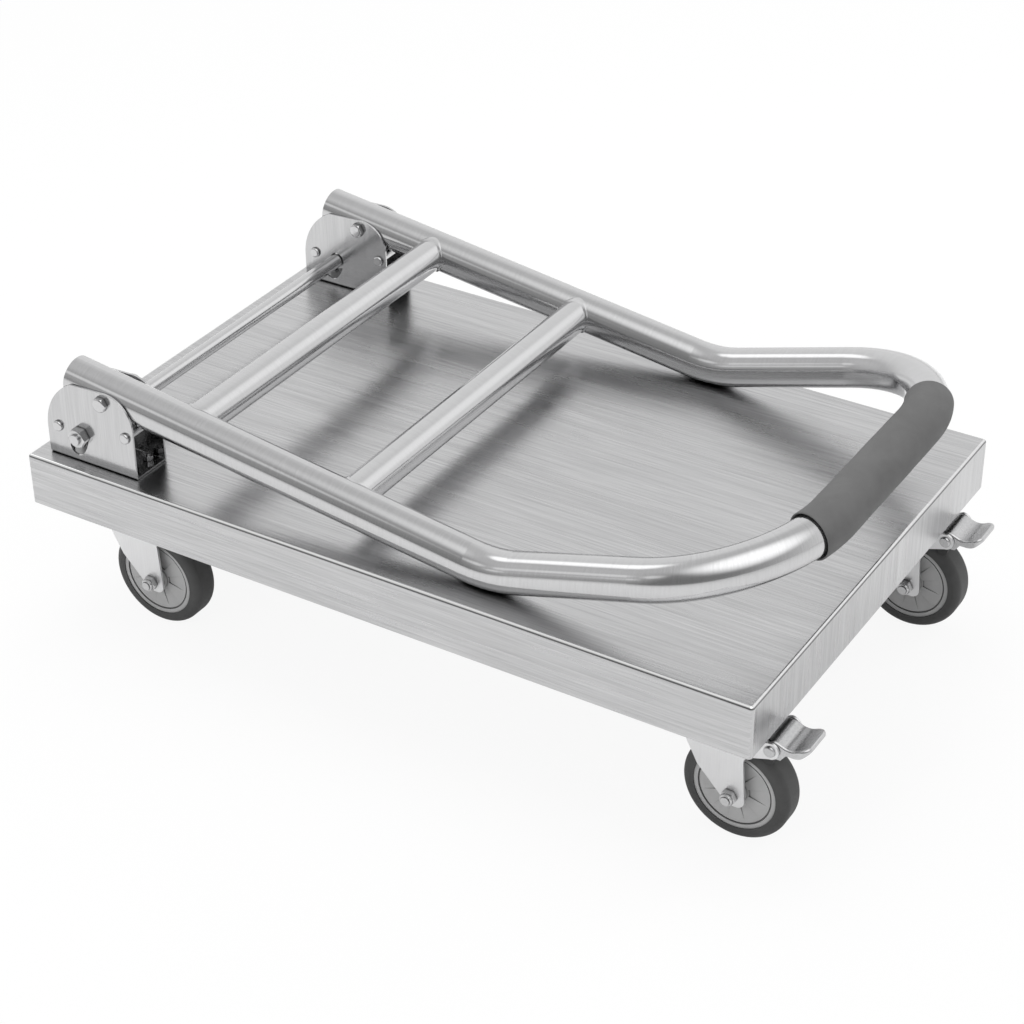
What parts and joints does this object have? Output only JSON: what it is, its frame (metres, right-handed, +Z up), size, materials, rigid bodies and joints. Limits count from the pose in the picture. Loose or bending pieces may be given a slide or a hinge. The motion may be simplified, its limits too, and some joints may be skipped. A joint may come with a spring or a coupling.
{
  "type": "folding platform trolley",
  "caption": "Stainless steel platform trolley with a tubular push handle that folds flat over the deck, a sprung lock bar in hinge brackets, and swivel casters with brake pedals.",
  "frame": {"origin": "on the floor, under the middle of the outer box", "axes": "+Z up, +X from the hinge end to the free end where the brake pedals are, +Y to the rear long side"},
  "size_m": [0.7826, 0.48, 0.293],
  "materials": {
    "deck_steel": "long straight brushed grain, satin",
    "bracket_steel": "fine upright grain over a near mirror",
    "tube_steel": "polished tube with a satin sheen",
    "grip_foam": "matte closed-cell foam",
    "caster_steel": "pressed sheet, bright satin",
    "fastener_steel": "bright turned steel",
    "spring_steel": "drawn wire",
    "pedal_steel": "bright pressed steel",
    "core_plastic": "moulded grey nylon",
    "sleeve_plastic": "moulded bush",
    "tyre_rubber": "dark grey rubber, smooth tread",
    "shoe_rubber": "black rubber"
  },
  "bodies": {
    "platform": {"deck_pan": "deck_steel", "hinge_end_rail": "deck_steel", "free_end_rail": "deck_steel", "centre_stiffener": "deck_steel", "hinge_bracket_front": "bracket_steel", "hinge_bracket_rear": "bracket_steel", "bracket_bolts": "fastener_steel", "guide_bolts": "fastener_steel", "guide_sleeves": "fastener_steel", "m6_nuts": "fastener_steel", "pivot_bolts": "fastener_steel", "m8_nuts": "fastener_steel", "caster_bolts": "fastener_steel", "kingpins": "caster_steel", "ball_rings": "caster_steel", "lock_spring_front": "spring_steel", "lock_spring_rear": "spring_steel", "caster_plate_hinge_front": "caster_steel", "caster_plate_hinge_rear": "caster_steel", "caster_plate_free_front": "caster_steel", "caster_plate_free_rear": "caster_steel"},
    "handle": {"handle_tube": "tube_steel", "lower_rung": "tube_steel", "upper_rung": "tube_steel", "handle_grip": "grip_foam", "pivot_sleeves": "fastener_steel"},
    "lock": {"lock_bar": "tube_steel", "lock_nuts": "fastener_steel", "latch_arm_front": "bracket_steel", "latch_arm_rear": "bracket_steel"},
    "swivel_hinge_front": {"fork_hinge_front": "caster_steel", "axle_bolt_hinge_front": "fastener_steel", "axle_nut_hinge_front": "fastener_steel"},
    "wheel_hinge_front": {"wheel_core_hinge_front": "core_plastic", "tyre_hinge_front": "tyre_rubber", "wheel_bush_hinge_front": "sleeve_plastic"},
    "swivel_hinge_rear": {"fork_hinge_rear": "caster_steel", "axle_bolt_hinge_rear": "fastener_steel", "axle_nut_hinge_rear": "fastener_steel"},
    "wheel_hinge_rear": {"wheel_core_hinge_rear": "core_plastic", "tyre_hinge_rear": "tyre_rubber", "wheel_bush_hinge_rear": "sleeve_plastic"},
    "swivel_free_front": {"fork_free_front": "caster_steel", "axle_bolt_free_front": "fastener_steel", "axle_nut_free_front": "fastener_steel", "pedal_rivet_free_front": "pedal_steel"},
    "wheel_free_front": {"wheel_core_free_front": "core_plastic", "tyre_free_front": "tyre_rubber", "wheel_bush_free_front": "sleeve_plastic"},
    "pedal_free_front": {"brake_pedal_free_front": "pedal_steel", "brake_shoe_free_front": "shoe_rubber"},
    "swivel_free_rear": {"fork_free_rear": "caster_steel", "axle_bolt_free_rear": "fastener_steel", "axle_nut_free_rear": "fastener_steel", "pedal_rivet_free_rear": "pedal_steel"},
    "wheel_free_rear": {"wheel_core_free_rear": "core_plastic", "tyre_free_rear": "tyre_rubber", "wheel_bush_free_rear": "sleeve_plastic"},
    "pedal_free_rear": {"brake_pedal_free_rear": "pedal_steel", "brake_shoe_free_rear": "shoe_rubber"}
  },
  "joints": [
    {"name": "handle_fold", "type": "hinge", "parent": "platform", "child": "handle", "pos_m": [-0.30695, 0, 0.2513], "axis": [0, -1, 0], "range_deg": [0, 99.4]},
    {"name": "lock_swing", "type": "hinge", "parent": "platform", "child": "lock", "pos_m": [-0.36175, 0, 0.212], "axis": [0, 1, 0], "range_deg": [0, 34.6], "stiffness_Nm_per_rad": 0.4, "springref_deg": -57.3, "deforming": ["lock_spring_front", "lock_spring_rear"]},
    {"name": "caster_swivel_hinge_front", "type": "hinge", "parent": "platform", "child": "swivel_hinge_front", "pos_m": [-0.32295, -0.18, 0.12], "axis": [0, 0, 1], "continuous": true},
    {"name": "wheel_spin_hinge_front", "type": "hinge", "parent": "swivel_hinge_front", "child": "wheel_hinge_front", "pos_m": [-0.28955, -0.18, 0.05], "axis": [0, 1, 0], "continuous": true},
    {"name": "caster_swivel_hinge_rear", "type": "hinge", "parent": "platform", "child": "swivel_hinge_rear", "pos_m": [-0.32295, 0.18, 0.12], "axis": [0, 0, 1], "continuous": true},
    {"name": "wheel_spin_hinge_rear", "type": "hinge", "parent": "swivel_hinge_rear", "child": "wheel_hinge_rear", "pos_m": [-0.28955, 0.18, 0.05], "axis": [0, 1, 0], "continuous": true},
    {"name": "caster_swivel_free_front", "type": "hinge", "parent": "platform", "child": "swivel_free_front", "pos_m": [0.29045, -0.18, 0.12], "axis": [0, 0, 1], "continuous": true},
    {"name": "wheel_spin_free_front", "type": "hinge", "parent": "swivel_free_front", "child": "wheel_free_front", "pos_m": [0.32385, -0.18, 0.05], "axis": [0, 1, 0], "continuous": true},
    {"name": "brake_free_front", "type": "hinge", "parent": "swivel_free_front", "child": "pedal_free_front", "pos_m": [0.35775, -0.18, 0.111], "axis": [0, 1, 0], "range_deg": [0, 15]},
    {"name": "caster_swivel_free_rear", "type": "hinge", "parent": "platform", "child": "swivel_free_rear", "pos_m": [0.29045, 0.18, 0.12], "axis": [0, 0, 1], "continuous": true},
    {"name": "wheel_spin_free_rear", "type": "hinge", "parent": "swivel_free_rear", "child": "wheel_free_rear", "pos_m": [0.32385, 0.18, 0.05], "axis": [0, 1, 0], "continuous": true},
    {"name": "brake_free_rear", "type": "hinge", "parent": "swivel_free_rear", "child": "pedal_free_rear", "pos_m": [0.35775, 0.18, 0.111], "axis": [0, 1, 0], "range_deg": [0, 15]}
  ]
}
